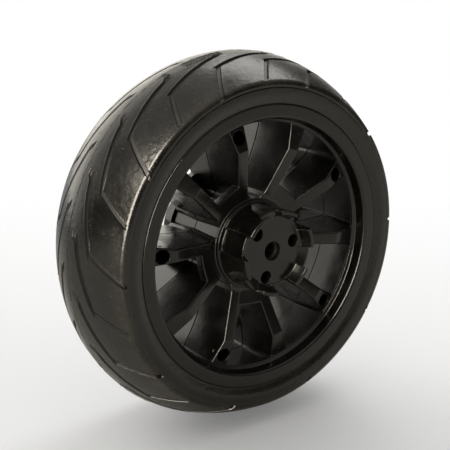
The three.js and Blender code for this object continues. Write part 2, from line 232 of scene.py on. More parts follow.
def grid_faces(rows, columns, close_rows=True):
    """Quads of a grid of points kept row by row. Each row is a loop, and the last may join the first."""
    faces = []
    for row in range(rows if close_rows else rows - 1):
        below = row * columns
        above = (row + 1) % rows * columns
        for column in range(columns):
            ahead = (column + 1) % columns
            faces.append((below + column, below + ahead, above + ahead, above + column))
    return faces


def add_to_scene(name, data):
    """A new object in the scene for a mesh, a light or a camera."""
    thing = bpy.data.objects.new(name, data)
    bpy.context.scene.collection.objects.link(thing)
    return thing


def edited(mesh, merge, shortest):
    """An editable copy without points closer than merge or edges shorter than shortest, in metres."""
    work = bmesh.new()
    work.from_mesh(mesh)
    bmesh.ops.remove_doubles(work, verts=work.verts, dist=merge)
    bmesh.ops.dissolve_degenerate(work, edges=work.edges, dist=shortest)
    return work


def new_object(points, faces):
    """A closed mesh from points in millimetres, with its faces pointing out."""
    mesh = bpy.data.meshes.new("work")
    mesh.from_pydata((np.asarray(points) * MM).tolist(), [], faces)
    work = edited(mesh, 1e-7, 1e-8)
    bmesh.ops.recalc_face_normals(work, faces=work.faces)
    if work.calc_volume(signed=True) < 0:
        bmesh.ops.reverse_faces(work, faces=work.faces)
    work.to_mesh(mesh)
    work.free()
    return add_to_scene("work", mesh)


def lathe(outline, segments):
    """A closed outline of (radius, y, rounding) corners, turned about the Y axis."""
    section = rounded(outline)
    rows = [at_angle(section, index * 360 / segments) for index in range(segments)]
    return new_object(np.concatenate(rows), grid_faces(segments, len(section)))


def rod(radius, y_from, y_to, segments=40, rounding=0.0):
    """A rod or cutter about the Y axis, round or with a few flat sides."""
    corners = [(0, y_from, 0), (radius, y_from, rounding), (radius, y_to, rounding), (0, y_to, 0)]
    return lathe(corners, segments)


def loft(sections):
    """A closed solid through a list of equally long closed sections, each a list of 3-D points."""
    rows, columns = len(sections), len(sections[0])
    faces = grid_faces(rows, columns, close_rows=False)
    faces.append(tuple(range(columns)))
    faces.append(tuple(range((rows - 1) * columns, rows * columns)))
    return new_object(np.concatenate(sections), faces)


def turn(thing, angle, radius=0.0):
    """Moves a mesh out along +X by radius, then round the Y axis to an angle."""
    spin = Matrix.Rotation(-math.radians(angle), 4, "Y")
    thing.data.transform(spin @ Matrix.Translation((radius * MM, 0, 0)))
    return thing


def ring_of(angles, circle, make, *sizes):
    """One piece, made by a function from its sizes, at each angle of a circle."""
    return [turn(make(*sizes), angle, circle) for angle in angles]


def mirror_to_rear(thing):
    """Mirrors a mesh to the other side of the centre plane."""
    thing.data.transform(Matrix.Diagonal((1, -1, 1, 1)))
    thing.data.flip_normals()
    return thing


def apply_modifiers(thing):
    """Replaces an object's mesh by the result of its modifiers."""
    bpy.context.view_layer.update()
    graph = bpy.context.evaluated_depsgraph_get()
    result = bpy.data.meshes.new_from_object(thing.evaluated_get(graph), depsgraph=graph)
    thing.modifiers.clear()
    thing.data = result


def combine(thing, others, operation):
    """Joins other closed meshes to a mesh, or cuts them from it, and deletes them."""
    for other in others:
        step = thing.modifiers.new("step", "BOOLEAN")
        step.operation = operation
        step.solver = "MANIFOLD"
        step.object = other
    apply_modifiers(thing)
    for other in others:
        bpy.data.objects.remove(other)
    return thing


def join(thing, *others):
    return combine(thing, others, "UNION")


def cut(thing, *others):
    return combine(thing, others, "DIFFERENCE")


def install(thing, node, finish, sharp_angle=32):
    """Shades a piece, gives it its finish, and lets it stand for its CAD node on that node's body."""
    work = edited(thing.data, 2e-6, 1e-6)
    work.to_mesh(thing.data)
    work.free()
    thing.data.shade_smooth()
    thing.data.set_sharp_from_angle(angle=math.radians(sharp_angle))
    weigh = thing.modifiers.new("weigh", "WEIGHTED_NORMAL")
    weigh.keep_sharp = True
    apply_modifiers(thing)
    thing.name = node + "_visual"
    thing.data.materials.clear()
    thing.data.materials.append(finish)
    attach(thing, BODY_OF_NODE[node])
    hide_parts(node)


# ---- material helpers ----

class Nodes:
    """Short ways to add shader nodes to a tree. All but add and feed return the socket of their result."""

    def __init__(self, tree):
        self.tree = tree

    def add(self, kind, settings=None, **inputs):
        """Adds a node and returns it whole. An input's spaces are written as underlines."""
        made = self.tree.nodes.new(kind)
        for key, value in (settings or {}).items():
            setattr(made, key, value)
        for key, value in inputs.items():
            self.feed(made.inputs[key.replace("_", " ")], value)
        return made

    def feed(self, socket, value):
        if isinstance(value, bpy.types.NodeSocket):
            self.tree.links.new(value, socket)
        else:
            socket.default_value = value

    def maths(self, operation, first, second=0.0):
        made = self.add("ShaderNodeMath", {"operation": operation})
        self.feed(made.inputs[0], first)
        self.feed(made.inputs[1], second)
        return made.outputs[0]

    def times(self, first, second):
        return self.maths("MULTIPLY", first, second)

    def plus(self, first, second):
        return self.maths("ADD", first, second)

    def hypotenuse(self, first, second):
        return self.maths("SQRT", self.plus(self.times(first, first), self.times(second, second)))

    def dot(self, first, second):
        made = self.add("ShaderNodeVectorMath", {"operation": "DOT_PRODUCT"})
        self.feed(made.inputs[0], first)
        self.feed(made.inputs[1], second)
        return made.outputs["Value"]

    def ramp(self, value, low, high, start=0.0, end=1.0):
        """Maps low..high to start..end, held beyond them, with a soft start and stop."""
        made = self.add("ShaderNodeMapRange", {"interpolation_type": "SMOOTHSTEP"})
        for socket, number in zip(made.inputs[:5], (value, low, high, start, end)):
            self.feed(socket, number)
        return made.outputs[0]

    def blend(self, share, first, second):
        """One colour fading into another."""
        made = self.add("ShaderNodeMix", {"data_type": "RGBA"})
        for socket, value in zip((made.inputs[0], made.inputs[6], made.inputs[7]), (share, first, second)):
            if isinstance(value, tuple):
                value = (*value, 1.0)
            self.feed(socket, value)
        return made.outputs[2]

    def mix_shaders(self, share, first, second):
        """One surface fading into another."""
        made = self.add("ShaderNodeMixShader", Fac=share)
        self.feed(made.inputs[1], first)
        self.feed(made.inputs[2], second)
        return made.outputs[0]


class Finish(Nodes):
    """A node material. Its textures are measured in millimetres on the piece at rest."""

    def __init__(self, name):
        self.material = bpy.data.materials.new(name)
        self.material.use_nodes = True
        super().__init__(self.material.node_tree)
        self.surface = self.tree.nodes["Principled BSDF"]
        place = self.add("ShaderNodeTexCoord").outputs["Object"]
        scaled = self.add("ShaderNodeVectorMath", {"operation": "SCALE"}, Scale=1 / MM)
        self.feed(scaled.inputs[0], place)
        self.place = scaled.outputs[0]
        self.x, self.y, self.z = self.add("ShaderNodeSeparateXYZ", Vector=self.place).outputs
        self.radius = self.hypotenuse(self.x, self.z)

    def noise(self, size, detail=4.0, roughness=0.55, stretch=(1, 1, 1), distortion=0.0):
        """Noise from 0 to 1 whose blotches are about this many millimetres wide."""
        place = self.add("ShaderNodeMapping", Vector=self.place, Scale=stretch).outputs[0]
        return self.add("ShaderNodeTexNoise", Vector=place, Scale=1 / size, Detail=detail,
                        Roughness=roughness, Distortion=distortion).outputs[0]

    def bump(self, height, depth, normal=None):
        """Turns a height from 0 to 1 into a bump of this many millimetres."""
        made = self.add("ShaderNodeBump", Height=height, Distance=depth * MM, Strength=1.0)
        if normal is not None:
            self.feed(made.inputs["Normal"], normal)
        return made.outputs[0]

    def soft_edges(self, radius):
        """Normals that turn round the edges and inside corners, as moulded ones do."""
        return self.add("ShaderNodeBevel", {"samples": 6}, Radius=radius * MM).outputs[0]

    def worn_edges(self, radius):
        """1 on outside edges and 0 elsewhere."""
        normal = self.add("ShaderNodeNewGeometry").outputs["Normal"]
        return self.ramp(self.dot(self.soft_edges(radius), normal), 0.97, 0.8)

    def groove_walls(self):
        """1 on the walls of the tread's grooves, where the painted shade goes, and 0 elsewhere."""
        across = self.maths("DIVIDE", self.maths("ABSOLUTE", self.y), TREAD_HALF_WIDTH)
        fall = self.times(self.maths("POWER", across, CROWN_POWER), CROWN_RADIUS - SHOULDER_RADIUS)
        depth = self.maths("SUBTRACT", self.maths("SUBTRACT", CROWN_RADIUS, fall), self.radius)
        below_tread = self.ramp(depth, 0.05, 0.3)
        above_floor = self.ramp(depth, GROOVE_DEPTH, 0.85 * GROOVE_DEPTH, 0.4, 1.0)
        inside_shoulder = self.ramp(across, 0.97, 0.93)
        return self.times(self.times(below_tread, above_floor), inside_shoulder)

    def torn_patch(self, middle, reach):
        """1 on a stretch of the tyre's crown, given by its middle and reach in degrees, and 0 elsewhere."""
        angle = self.maths("ARCTAN2", self.z, self.x)
        along = self.maths("ABSOLUTE", self.maths("SUBTRACT", angle, math.radians(middle)))
        across = self.maths("ABSOLUTE", self.maths("SUBTRACT", self.y, TORN_MIDDLE))
        inside_ends = self.ramp(along, math.radians(reach), math.radians(reach - 1))
        shape = self.times(inside_ends, self.ramp(across, 4.4, 3.0))
        return self.times(shape, self.ramp(self.radius, CROWN_RADIUS - 2.5, CROWN_RADIUS - 1.5))

    def inside_hole(self, hole_radius, circle, angle):
        """1 on the wall of a hole along Y, whose centre lies at an angle of a circle, and 0 farther out."""
        aside_x = self.maths("SUBTRACT", self.x, circle * math.cos(math.radians(angle)))
        aside_z = self.maths("SUBTRACT", self.z, circle * math.sin(math.radians(angle)))
        return self.ramp(self.hypotenuse(aside_x, aside_z), hole_radius + 0.8, hole_radius + 0.55)

    def finish(self, **inputs):
        """Sets the surface's inputs and returns the finished material."""
        for key, value in inputs.items():
            if isinstance(value, tuple) and len(value) == 3:
                value = (*value, 1.0)
            self.feed(self.surface.inputs[key.replace("_", " ")], value)
        return self.material


# ---- finishes ----
# Colours are linear red, green and blue.

RUBBER_DARK, RUBBER_PALE = (0.0062, 0.0056, 0.0043), (0.0115, 0.0103, 0.0078)
BROWN_BLOOM = (0.05, 0.043, 0.031)
SCUFF_GREY = (0.085, 0.08, 0.07)
CHALKY_DUST = (0.2, 0.18, 0.13)
TORN_RUBBER = (0.003, 0.0025, 0.0015)
# painted shade in the tread's grooves
GROOVE_PAINTED_SHADE = (0.001, 0.001, 0.001)
RIM_DARK, RIM_PALE = (0.0052, 0.0047, 0.0042), (0.0090, 0.0081, 0.0069)
HUB_DARK, HUB_PALE = (0.0062, 0.0055, 0.0041), (0.0105, 0.0093, 0.0069)
SCRATCH_GREY = (0.06, 0.057, 0.05)
DUST_SPECK = (0.16, 0.15, 0.13)
WORN_PLASTIC = (0.12, 0.11, 0.09)
# painted shade for the walls of the drive hub's holes
HOLE_PAINTED_SHADE = (0.002, 0.002, 0.002)
NYLON_DARK, NYLON_PALE = (0.62, 0.58, 0.48), (0.74, 0.71, 0.62)
NYLON_GREASE = (0.16, 0.14, 0.11)
ZINC_PALE, ZINC_STAIN = (0.42, 0.42, 0.43), (0.2, 0.2, 0.19)
STEEL_PALE, STEEL_STAIN = (0.4, 0.4, 0.41), (0.22, 0.21, 0.2)
RUBBED_STEEL = (0.72, 0.71, 0.69)
# painted shade for the bores of the axle sleeve and the front thrust washer
BORE_PAINTED_SHADE = (0.012, 0.01, 0.007)


def rubber_finish():
    """Satin black rubber: fine grain, scuffs, chalky dust and a brown bloom near the shoulders, and painted
    shade in the grooves.
    """
    f = Finish("tyre_rubber")
    grain = f.noise(0.5, 3)
    orange_peel = f.noise(3.5, 3)
    mottle = f.noise(28, 5, 0.6)
    scratches = f.noise(2.6, 5, 0.7, stretch=(1, 0.4, 1), distortion=0.5)
    pits = f.ramp(f.noise(1.1, 2), 0.66, 0.74)
    from_shoulder = f.maths("ABSOLUTE", f.maths("SUBTRACT", f.radius, SHOULDER_RADIUS + 1.5))
    shoulder = f.ramp(from_shoulder, 6.5, 0.5)
    scuff = f.times(f.ramp(scratches, 0.58, 0.7), f.ramp(mottle, 0.45, 0.62))
    dust = f.times(shoulder, f.ramp(scratches, 0.5, 0.68))
    bloom = f.times(shoulder, f.ramp(mottle, 0.35, 0.6))
    torn = f.maths("MAXIMUM", *[f.torn_patch(*patch) for patch in TORN_PATCHES])
    torn = f.times(torn, f.ramp(f.noise(2.2, 4, 0.7), 0.38, 0.56))
    colour = f.blend(f.ramp(mottle, 0.35, 0.68), RUBBER_DARK, RUBBER_PALE)
    colour = f.blend(f.times(bloom, 0.5), colour, BROWN_BLOOM)
    colour = f.blend(f.times(scuff, 0.22), colour, SCUFF_GREY)
    colour = f.blend(f.times(dust, 0.12), colour, CHALKY_DUST)
    colour = f.blend(torn, colour, TORN_RUBBER)
    rough = f.ramp(mottle, 0.3, 0.7, 0.2, 0.3)
    rough = f.plus(rough, f.times(scuff, 0.2))
    rough = f.plus(rough, f.times(torn, 0.65))
    # Painted shade: the grooves' walls, and their floors less, turn almost black and rougher.
    walls = f.groove_walls()
    colour = f.blend(walls, colour, GROOVE_PAINTED_SHADE)
    rough = f.plus(rough, f.times(walls, 0.45))
    normal = f.bump(orange_peel, 0.09)
    normal = f.bump(pits, 0.07, normal)
    normal = f.bump(f.times(torn, f.noise(0.9, 4, 0.7)), 1.0, normal)
    normal = f.bump(mottle, 0.5, normal)
    normal = f.bump(grain, 0.03, normal)
    return f.finish(Base_Color=colour, Roughness=rough, Normal=normal, Specular_IOR_Level=0.5)


def moulded_finish(name, dark, light, roughness, edge_rounding=0.6, holes=()):
    """Satin moulded plastic: soft edges, flow marks, fine scratches, dust, paler worn edges, and painted
    shade on the walls of the given holes.
    """
    f = Finish(name)
    flow = f.noise(26, 2, 0.5)
    peel = f.noise(3.0, 2)
    scratches = f.ramp(f.noise(6, 5, 0.7, stretch=(1, 4, 1), distortion=0.4), 0.58, 0.7)
    speck = f.ramp(f.noise(1.6, 2, 0.5), 0.7, 0.78)
    worn = f.times(f.worn_edges(0.5), f.ramp(f.noise(9, 5, 0.7), 0.35, 0.6))
    colour = f.blend(f.ramp(flow, 0.35, 0.65), dark, light)
    colour = f.blend(f.times(scratches, 0.12), colour, SCRATCH_GREY)
    colour = f.blend(f.times(speck, 0.1), colour, DUST_SPECK)
    colour = f.blend(f.times(worn, 0.22), colour, WORN_PLASTIC)
    rough = f.ramp(flow, 0.3, 0.7, roughness - 0.05, roughness + 0.07)
    rough = f.plus(rough, f.times(scratches, 0.08))
    normal = f.bump(peel, 0.035, f.soft_edges(edge_rounding))
    normal = f.bump(flow, 0.3, normal)
    # Painted shade: behind the drive face, the walls of the given holes turn near-black, rougher and less
    # shiny.
    hole_shade = 0.0
    for hole in holes:
        hole_shade = f.maths("MAXIMUM", hole_shade, f.inside_hole(*hole))
    hole_shade = f.times(hole_shade, f.ramp(f.y, 0.02 - DRIVE_FACE, 0.25 - DRIVE_FACE))
    colour = f.blend(hole_shade, colour, HOLE_PAINTED_SHADE)
    rough = f.plus(rough, f.times(hole_shade, 0.5))
    shine = f.ramp(hole_shade, 0, 1, 0.46, 0.08)
    return f.finish(Base_Color=colour, Roughness=rough, Normal=normal, Specular_IOR_Level=shine)


def nylon_finish():
    """Off-white nylon, slightly see-through, with dark grease near the running faces."""
    f = Finish("nylon")
    cloud = f.noise(5, 4)
    grease_and_shade = f.ramp(f.noise(3, 4, 0.7), 0.5, 0.68)
    colour = f.blend(cloud, NYLON_DARK, NYLON_PALE)
    colour = f.blend(f.times(grease_and_shade, 0.5), colour, NYLON_GREASE)
    normal = f.bump(f.noise(0.8, 3), 0.03, f.soft_edges(0.3))
    return f.finish(Base_Color=colour, Roughness=f.ramp(cloud, 0.3, 0.7, 0.42, 0.58), Normal=normal,
                    Subsurface_Weight=0.15, Subsurface_Scale=0.002)


def steel_finish(name, pale, dark, roughness, stretch, bore=0.0):
    """Steel with fine turning or rolling marks, darker stains, rubbed edges and painted shade in its bore."""
    f = Finish(name)
    stain = f.ramp(f.noise(4, 5, 0.7), 0.42, 0.7)
    marks = f.noise(0.7, 3, 0.6, stretch=stretch)
    rubbed = f.worn_edges(0.3)
    colour = f.blend(stain, pale, dark)
    colour = f.blend(f.times(rubbed, 0.5), colour, RUBBED_STEEL)
    rough = f.ramp(stain, 0, 1, roughness, roughness + 0.18)
    normal = f.bump(marks, 0.02, f.soft_edges(0.25))
    # Painted shade: inside the bore the steel turns dark, rougher and no longer metallic.
    grease_and_shade = f.ramp(f.radius, bore + 0.35, bore + 0.15)
    colour = f.blend(grease_and_shade, colour, BORE_PAINTED_SHADE)
    rough = f.plus(rough, f.times(grease_and_shade, 0.3))
    return f.finish(Base_Color=colour, Metallic=f.ramp(grease_and_shade, 0, 1, 1, 0), Roughness=rough, Normal=normal)


# ---- tyre ----

def tread_radius(y):
    """Radius of the tread at a distance from the centre plane, away from grooves and flash."""
    height = CROWN_RADIUS - SHOULDER_RADIUS
    return SHOULDER_RADIUS + height * (1 - np.abs(y / TREAD_HALF_WIDTH) ** CROWN_POWER)


def groove_slope(share):
    """Degrees that a groove runs round per unit share of the way from shoulder edge to parting line."""
    leg = mix(-15.0, -73.0, smooth(0.525, 0.565, share))
    hook = mix(leg, -26.0, smooth(0.81, 0.85, share))
    return hook * (1 - smooth(0.9, 0.93, share))


SHARE_STEPS = np.linspace(-0.3, 1.0, 2601)
SLOPE_STEPS = groove_slope(SHARE_STEPS)
PATH_STEPS = np.cumsum(SLOPE_STEPS) * (SHARE_STEPS[1] - SHARE_STEPS[0])
PATH_STEPS -= np.interp(0.545, SHARE_STEPS, PATH_STEPS)


def groove_path(share):
    """Degrees that a groove's middle line is away from its bend."""
    return np.interp(share, SHARE_STEPS, PATH_STEPS)


def groove_stretch(share):
    """How much wider a groove is when measured round the tyre than across itself."""
    round_tyre = np.radians(groove_slope(share)) * MEAN_TREAD_RADIUS
    return math.hypot(1, round_tyre / TREAD_HALF_WIDTH)


def tread_rows():
    """Rows from the front sidewall to the parting line: (y, radius, share of the way to the parting line)."""
    edge = TREAD_HALF_WIDTH
    sidewall = []
    for radius in (RIM_RADIUS + GAP, 103.4, 104.4, 105.6, 107, 108.4, 109.8, 111.2, 112.8):
        sidewall.append((-mix(RIM_FACE - BEAD_STEP, edge, smooth(101, 110, radius)), radius))
    for radius, depth in ((113.4, 0.05), (113.8, 0.2), (114.2, 0.2), (114.6, 0.05)):
        sidewall.append((-edge + depth, radius))
    slope = math.atan2((CROWN_RADIUS - SHOULDER_RADIUS) * CROWN_POWER, TREAD_HALF_WIDTH)
    centre_y = -edge + SHOULDER_ROUNDING
    reach = SHOULDER_ROUNDING * math.tan((math.pi / 2 - slope) / 2)
    centre_radius = SHOULDER_RADIUS - reach
    for step in range(6):
        angle = (math.pi / 2 - slope) * step / 5
        y = centre_y - SHOULDER_ROUNDING * math.cos(angle)
        sidewall.append((y, centre_radius + SHOULDER_ROUNDING * math.sin(angle)))
    start_share = (sidewall[-1][0] + edge) / (edge + PARTING_LINE)
    rows = []
    length = 0.0
    for index in range(len(sidewall) - 1, -1, -1):
        y, radius = sidewall[index]
        rows.append((y, radius, start_share - length / edge))
        if index:
            length += math.dist(sidewall[index], sidewall[index - 1])
    rows.reverse()
    shares = [*np.linspace(start_share, 0.12, 9)[1:], *np.linspace(0.12, 0.5, 12)[1:],
              *np.linspace(0.5, 0.59, 8)[1:], *np.linspace(0.59, 0.8, 12)[1:],
              *np.linspace(0.8, 0.93, 13)[1:], 0.945, 0.96, 0.972, 0.98, 0.985, 0.989, 0.993, 0.997, 1.0]
    for share in shares:
        y = mix(-edge, PARTING_LINE, share)
        rows.append((y, float(tread_radius(y)), share))
    return rows


def groove_depth(share, long_groove):
    """Share of full depth along a groove. Long ones run out over the shoulder, short ones start inside it."""
    start = smooth(-0.055, -0.03, share) if long_groove else smooth(0.045, 0.075, share)
    return start * (1 - smooth(0.885, 0.915, share))


def pitch_columns(front_stretch, rear_stretch):
    """Degrees of the columns in one pitch: a front groove at 0, a rear groove at REAR_SHIFT, land between."""
    offsets = np.degrees(GROOVE_OFFSETS / MEAN_TREAD_RADIUS)
    front = offsets * front_stretch
    rear = REAR_SHIFT + offsets * rear_stretch
    first_land = np.linspace(front[-1], rear[0], LAND_COLUMNS[0] + 2)[1:-1]
    second_land = np.linspace(rear[-1], GROOVE_PITCH + front[0], LAND_COLUMNS[1] + 2)[1:-1]
    return np.concatenate([front, first_land, rear, second_land])


def flash_height(angle, distance):
    """Height of the torn rubber and of the ragged line where the moulds met, at an angle in degrees.

    The distance is measured from the line, towards the rear.
    """
    around = Vector((math.cos(math.radians(angle)), math.sin(math.radians(angle)), 0)) * CROWN_RADIUS
    ragged = 0.55 + 0.9 * noise.noise(around / 2.3) + 0.5 * noise.noise(around / 0.8)
    torn = sum(smooth(start, full, angle % 360) * (1 - smooth(waning, end, angle % 360))
               for start, full, waning, end in TORN_STRETCHES)
    line = max(0.0, 1 - abs(distance) / 0.5) * 0.32 * max(0.3, ragged)
    from_middle = abs(distance + PARTING_LINE - TORN_MIDDLE)
    patch = torn * smooth(7.5, 5.5, from_middle) if distance < 0.3 else 0.0
    return line + 0.3 * patch * (0.5 + 1.4 * noise.noise(Vector((around.x, distance, around.y)) / 1.3))


def outer_rows():
    """Rows from the front sidewall over the tread to the rear one: (y, radius, share, whether in front)."""
    front = tread_rows()
    rows = [(*row, True) for row in front]
    for y, radius, share in reversed(front[:-1]):
        if share < 0.02:
            rows.append((-y, radius, share, False))
        else:
            y = mix(TREAD_HALF_WIDTH, PARTING_LINE, share)
            rows.append((y, float(tread_radius(y)), share, False))
    return rows


def outer_surface():
    """Grid of the tyre's outside: rows across the tread, columns round the tyre that follow the grooves."""
    rows = outer_rows()
    along = np.gradient(np.array([(y, radius) for y, radius, share, in_front in rows]), axis=0)
    along /= np.linalg.norm(along, axis=1)[:, None]
    grid = []
    for (y, radius, share, in_front), (along_y, along_radius) in zip(rows, along):
        stretch = groove_stretch(share)
        columns = pitch_columns(stretch, 1) if in_front else pitch_columns(1, stretch)
        first = 0 if in_front else len(GROOVE_PROFILE) + LAND_COLUMNS[0]
        row = []
        for pitch in range(int(360 / GROOVE_PITCH)):
            depths = np.zeros(len(columns))
            depth = GROOVE_DEPTH * groove_depth(share, pitch % 2 == 0)
            depths[first:first + len(GROOVE_PROFILE)] = GROOVE_PROFILE * depth
            angles = GROOVE_BEND_ANGLE + pitch * GROOVE_PITCH + groove_path(share) + columns
            for angle, depth in zip(angles, depths):
                raised = flash_height(angle, y - PARTING_LINE) if share > 0.8 else 0.0
                lift = raised - depth
                r = radius + lift * along_y
                turned = math.radians(angle)
                row.append((r * math.cos(turned), y - lift * along_radius, r * math.sin(turned)))
        grid.append(row)
    return np.array(grid)


def tyre(finish):
    """Tread and sidewalls, closed by the beads and the inside of the hollow."""
    outside = outer_surface()
    columns = outside.shape[1]
    bead_face = RIM_FACE - LIP_THICKNESS - GAP
    toe = BEAD_RADIUS + TYRE_WALL
    inner_tread = [(tread_radius(y) - TYRE_WALL, y)
                   for y in np.linspace(TREAD_HALF_WIDTH - TYRE_WALL, TYRE_WALL - TREAD_HALF_WIDTH, 9)]
    half = [(RIM_RADIUS + GAP, bead_face), (BEAD_RADIUS, bead_face), (BEAD_RADIUS, bead_face - TYRE_WALL),
            (toe, bead_face - TYRE_WALL)]
    inside = [*half, *inner_tread, *[(r, -y) for r, y in reversed(half)]]
    first_row, last_row = outside[0], outside[-1]
    rows = [*outside]
    for index, (radius, y) in enumerate(inside):
        pattern = last_row if index < len(inside) / 2 else first_row
        angles = np.arctan2(pattern[:, 2], pattern[:, 0])
        ring = (radius * np.cos(angles), np.full(columns, y), radius * np.sin(angles))
        rows.append(np.stack(ring, axis=-1))
    points = np.concatenate(rows)
    thing = new_object(points, grid_faces(len(rows), columns))
    install(thing, "tyre", finish, sharp_angle=50)


# ---- rim ----

def spoke_face(radius):
    """Distance of a spoke's face from the centre plane: it climbs to the kink, then drops."""
    if radius < FLANGE_RADIUS + GAP:
        return SPOKE_ROOT_FACE
    if radius < SPOKE_KINK_RADIUS:
        share = (radius - FLANGE_RADIUS - GAP) / (SPOKE_KINK_RADIUS - FLANGE_RADIUS - GAP)
        return mix(SPOKE_ROOT_FACE, SPOKE_KINK_FACE, share)
    share = (radius - SPOKE_KINK_RADIUS) / (BARREL_INNER_RADIUS - SPOKE_KINK_RADIUS)
    return mix(SPOKE_KINK_FACE, SPOKE_END_FACE, share)


def spoke_half_width(radius):
    """Half the width of a spoke's face, which widens past the kink and flares at the hub and barrel."""
    to_kink = (radius - HUB_TUBE_RADIUS) / (SPOKE_KINK_RADIUS - HUB_TUBE_RADIUS)
    past_kink = max(0.0, radius - SPOKE_KINK_RADIUS)
    into_barrel = max(0.0, (radius - BARREL_INNER_RADIUS + 4) / 4)
    into_hub = max(0.0, (FLANGE_RADIUS + 3 - radius) / 3)
    flares = [min(2.0 * share ** 2, 2.4) for share in (into_barrel, into_hub)]
    return mix(*SPOKE_HALF_WIDTHS, to_kink) + past_kink * SPOKE_WIDENING + sum(flares)


def spoke():
    """A tall drafted rib along +X with rounded upper edges."""
    kink = SPOKE_KINK_RADIUS
    stations = [31, 33, 35.3, 36.6, 38, 42, 48, 56, 64, kink - 0.7, kink, kink + 0.7, 76, 80, 84,
                87.5, 88.7, 89.9, 91.1, 92.6]
    sections = []
    for radius in stations:
        face = spoke_face(radius) - (0.12 if radius == kink else 0.0)
        half = spoke_half_width(radius)
        foot = half + SPOKE_DRAFT * (face - SPOKE_BACK_FACE)
        outline = rounded([(-foot, SPOKE_BACK_FACE, 0), (foot, SPOKE_BACK_FACE, 0),
                           (half, face, SPOKE_ROUNDING), (0, face + 0.1, 0),
                           (-half, face, SPOKE_ROUNDING)], steps=5)
        sections.append([(radius, -depth, side) for side, depth in outline])
    return loft(sections)


def web():
    """The plate that ties a pair of spokes together near the hub, its face in line with theirs."""
    half_angle = 180 / SPOKE_COUNT
    sections = []
    for angle in np.linspace(-half_angle, half_angle, 13):
        outer = WEB_RADIUS + 1.6 * (angle / half_angle) ** 2
        inner = HUB_TUBE_RADIUS - 1.5
        face = SPOKE_ROOT_FACE - 0.15
        outline = rounded([
            (inner, -WEB_BACK_FACE, 0), (outer, -WEB_BACK_FACE, 0.3), (outer, 0.15 - spoke_face(outer), 1.3),
            (FLANGE_RADIUS + 0.4, -face, 0), (inner, -face, 0),
        ])
        sections.append(at_angle(outline, angle))
    return loft(sections)


def rim_barrel():
    """Flat lip and bead seat, with a ledge inside that the spokes end under."""
    lip_back = LIP_THICKNESS - RIM_FACE
    return lathe([
        (RIM_RADIUS, -RIM_FACE, 1.1), (RIM_RADIUS, lip_back, 0.4), (BARREL_OUTER_RADIUS, lip_back, 0.4),
        (BARREL_OUTER_RADIUS, -GAP / 2, 0.2), (BARREL_INNER_RADIUS, -GAP / 2, 0.4),
        (BARREL_INNER_RADIUS, 2.4 - LEDGE_FACE, 0.8), (LEDGE_RADIUS, 1.6 - LEDGE_FACE, 0.5),
        (LEDGE_RADIUS, -LEDGE_FACE - 0.4, 0.7), (91.2, -LEDGE_FACE - 2.2, 1.8),
        (LIP_INNER_RADIUS, -RIM_FACE, 2.6),
    ], 192)


def rim_centre():
    """Tube round the hub, closed in front by the plate that the drive hub is bolted to."""
    plate_back = HUB_PLATE_THICKNESS - HUB_PLATE_FACE
    return lathe([
        (SPIGOT_RADIUS + GAP, -HUB_PLATE_FACE, 0.3), (HUB_TUBE_RADIUS, -HUB_PLATE_FACE, 0.6),
        (HUB_TUBE_RADIUS, -GAP / 2, 0.4), (HUB_TUBE_BORE, -GAP / 2, 0.4), (HUB_TUBE_BORE, plate_back, 1.0),
        (SPIGOT_RADIUS + GAP, plate_back, 0.3),
    ], 128)


def rim_half():
    """Half of the rim in front of the centre plane, with holes for the hub's bolts."""
    spokes = [turn(spoke(), angle) for angle in SPOKE_ANGLES]
    webs = [turn(web(), angle + 180 / SPOKE_COUNT) for angle in WELL_ANGLES]
    pillars = ring_of(WELL_ANGLES, WELL_CIRCLE, rod, PILLAR_RADIUS, -PILLAR_FACE, -GAP / 2, 40, 0.6)
    holes = ring_of(BOLT_ANGLES, BOLT_CIRCLE, rod, BOLT_RADIUS + GAP, -HUB_PLATE_FACE - 1, 0)
    return cut(join(rim_barrel(), rim_centre(), *spokes, *webs, *pillars), *holes)


def well_cutter():
    """The screw well: a drafted bore with a rounded floor, and the screw's hole below it."""
    return lathe([
        (0, -WELL_MOUTH, 0), (WELL_BORE + 0.9, -WELL_MOUTH, 0), (WELL_BORE + 0.25, 10 - WELL_MOUTH, 0.5),
        (WELL_BORE, -WELL_FLOOR, 0.5), (SCREW_RADIUS + GAP, -WELL_FLOOR, 0.2), (SCREW_RADIUS + GAP, 1, 0),
        (0, 1, 0),
    ], 40)


def rims(finish):
    """The front half has the screw wells; the rear half is its mirror image with plain screw holes."""
    front = cut(rim_half(), *ring_of(WELL_ANGLES, WELL_CIRCLE, well_cutter))
    install(front, "rim_front", finish)
    holes = ring_of(WELL_ANGLES, WELL_CIRCLE, rod, SCREW_RADIUS + GAP, -1, SCREW_END + 1)
    rear = cut(mirror_to_rear(rim_half()), *holes)
    install(rear, "rim_rear", finish)


# ---- hubs ----

def sector_shares(angle):
    """How much of a tooth and of a flute there is at an angle: 12 sectors of tooth, notch, tooth, flute..."""
    turned = (angle - FIRST_BOLT_ANGLE) % 120
    edge = 1.2
    from_tooth = abs((turned + 30) % 60 - 30)
    tooth = float(smooth(15 + edge, 15 - edge, from_tooth))
    flute = float(smooth(15 + edge, 15 - edge, abs(turned - 30)))
    return tooth, flute


